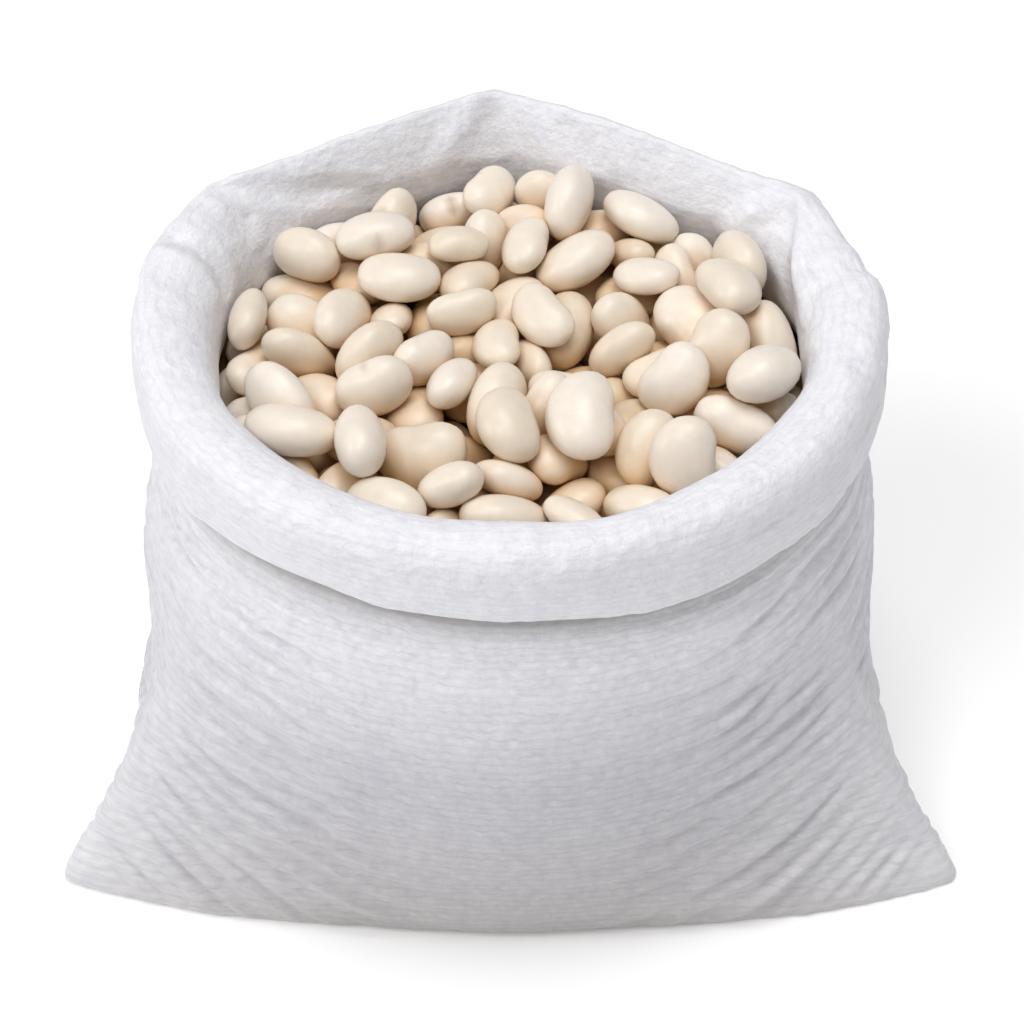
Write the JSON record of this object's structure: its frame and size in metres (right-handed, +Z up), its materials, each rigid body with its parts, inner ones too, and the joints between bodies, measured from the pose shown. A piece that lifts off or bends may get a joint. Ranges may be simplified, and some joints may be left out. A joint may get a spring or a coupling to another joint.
{
  "type": "open sack of dried beans",
  "caption": "Small white woven sack standing open, its mouth rolled outward into a thick cuff, filled to a low heap with large cream-white dried beans.",
  "frame": {"origin": "middle of the outer box at the floor", "axes": "+X to the right as seen from the front seam, +Y to the back, +Z up"},
  "size_m": [0.203, 0.1514, 0.138],
  "materials": {
    "woven_cloth": "soft sheen",
    "bean_skin": "satin"
  },
  "bodies": {
    "root": {"sack": "woven_cloth", "beans": "bean_skin"}
  },
  "joints": []
}
